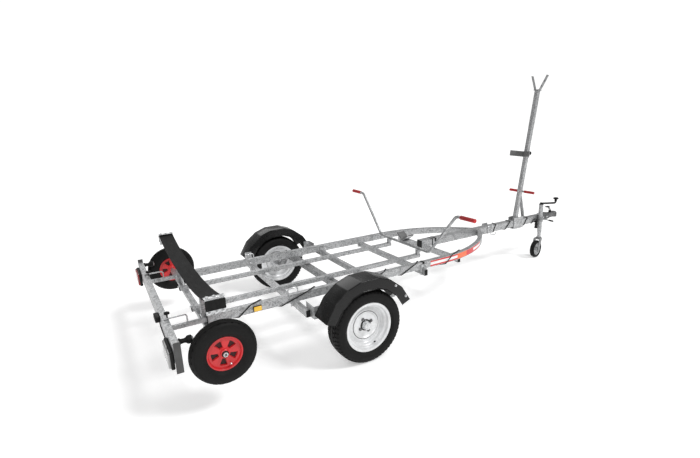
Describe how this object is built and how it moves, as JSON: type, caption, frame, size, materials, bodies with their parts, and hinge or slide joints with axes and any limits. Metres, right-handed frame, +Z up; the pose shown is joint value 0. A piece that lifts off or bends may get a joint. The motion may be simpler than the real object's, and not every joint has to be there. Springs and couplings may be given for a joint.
{
  "type": "boat trailer with launching trolley",
  "caption": "Galvanised road trailer for a dinghy with curved side rails and drawbar, carrying a wheeled launching trolley with a sling cradle, mast post and jockey wheel.",
  "frame": {"origin": "on the ground under the middle of the trailer's overall length and width", "axes": "+X forward to the coupling, +Y to the trailer's left side, +Z up"},
  "size_m": [4.59, 1.866, 2.0403],
  "materials": {
    "zinc": "hot-dip galvanised steel, dull with a faint spangle",
    "zinc_dark": "darker galvanised or zinc-plated steel fittings",
    "zinc_bright": "bright zinc-plated steel",
    "cast_steel": "pressed and cast coupling, dark grey",
    "hub_steel": "machined hub with dust cap",
    "silver_paint": "silver-white painted wheel steel",
    "black_gloss": "glossy black moulded plastic",
    "black_plastic": "matt black moulded plastic",
    "black_rubber": "black rubber",
    "belt_rubber": "woven-backed rubber belting, charcoal",
    "tyre_rubber": "black tyre rubber",
    "cable": "black sheathed cable",
    "red_grip": "red soft grip",
    "red_plastic": "red moulded plastic wheel centre",
    "red_lens": "red lamp lens in a black housing",
    "amber_lens": "amber marker lens"
  },
  "bodies": {
    "trailer": {"side_rail_left": "zinc", "side_rail_right": "zinc", "drawbar": "zinc", "cross_beams": "zinc", "beam_end_caps": "black_plastic", "torsion_axle": "zinc_dark", "axle_brackets": "zinc_dark", "swing_arms": "zinc_dark", "mudguard_left": "black_gloss", "mudguard_right": "black_gloss", "mudguard_stays": "zinc", "coupling_head": "cast_steel", "coupling_handle": "black_plastic", "drawbar_plates": "zinc", "stowage_hook": "zinc_dark", "jockey_clamp": "zinc_dark", "mast_post": "zinc", "mast_base": "zinc", "mast_brace": "zinc_dark", "mast_fork": "zinc_dark", "post_handlebar": "zinc", "post_grips": "red_grip", "side_markers": "amber_lens", "lashing_hoops": "zinc", "wiring_loom": "cable", "trailer_plug": "black_plastic", "trolley_rails": "zinc", "trolley_axle": "zinc", "cradle_uprights": "zinc", "cradle_belt": "belt_rubber", "belt_clamps": "zinc_bright", "keel_rest": "zinc", "keel_pads": "black_rubber", "trolley_handlebar": "zinc", "trolley_grips": "red_grip"},
    "road_wheel_left": {"road_tyre_left": "tyre_rubber", "road_rim_left": "silver_paint", "road_hub_left": "hub_steel"},
    "road_wheel_right": {"road_tyre_right": "tyre_rubber", "road_rim_right": "silver_paint", "road_hub_right": "hub_steel"},
    "launch_wheel_left": {"launch_tyre_left": "tyre_rubber", "launch_rim_left": "red_plastic"},
    "launch_wheel_right": {"launch_tyre_right": "tyre_rubber", "launch_rim_right": "red_plastic"},
    "light_bar": {"light_board": "zinc", "light_slides": "zinc", "board_hoops": "zinc", "lamp_brackets": "black_plastic", "tail_lamps": "red_lens", "number_plate_lamp": "black_plastic"},
    "bow_stop": {"bow_rest": "zinc", "bow_rest_pads": "black_rubber"},
    "jockey_stand": {"jockey_outer_tube": "zinc", "jockey_crank": "black_plastic"},
    "jockey_inner": {"jockey_leg": "zinc"},
    "jockey_castor": {"jockey_fork": "zinc_dark"},
    "jockey_wheel": {"jockey_tyre": "tyre_rubber", "jockey_rim": "silver_paint"}
  },
  "joints": [
    {"name": "road_wheel_left_spin", "type": "hinge", "parent": "trailer", "child": "road_wheel_left", "pos_m": [-0.995, 0.841, 0.268], "axis": [0, 1, 0], "continuous": true},
    {"name": "road_wheel_right_spin", "type": "hinge", "parent": "trailer", "child": "road_wheel_right", "pos_m": [-0.995, -0.841, 0.268], "axis": [0, 1, 0], "continuous": true},
    {"name": "launch_wheel_left_spin", "type": "hinge", "parent": "trailer", "child": "launch_wheel_left", "pos_m": [-1.994, 0.883, 0.397], "axis": [0, 1, 0], "continuous": true},
    {"name": "launch_wheel_right_spin", "type": "hinge", "parent": "trailer", "child": "launch_wheel_right", "pos_m": [-1.994, -0.883, 0.397], "axis": [0, 1, 0], "continuous": true},
    {"name": "light_bar_slide", "type": "slide", "parent": "trailer", "child": "light_bar", "axis": [-1, 0, 0], "range_m": [0, 0.6]},
    {"name": "bow_stop_height", "type": "slide", "parent": "trailer", "child": "bow_stop", "axis": [0.1668, 0, 0.986], "range_m": [-0.3, 0.55]},
    {"name": "jockey_clamp_height", "type": "slide", "parent": "trailer", "child": "jockey_stand", "axis": [0, 0, 1], "range_m": [0, 0.09]},
    {"name": "jockey_leg_wind", "type": "slide", "parent": "jockey_stand", "child": "jockey_inner", "axis": [0, 0, 1], "range_m": [-0.15, 0.05]},
    {"name": "jockey_swivel", "type": "hinge", "parent": "jockey_inner", "child": "jockey_castor", "pos_m": [1.93, -0.065, 0.2], "axis": [0, 0, 1], "continuous": true},
    {"name": "jockey_wheel_spin", "type": "hinge", "parent": "jockey_castor", "child": "jockey_wheel", "pos_m": [1.8711, -0.07645, 0.1], "axis": [-0.1908, 0.9816, 0], "continuous": true}
  ]
}
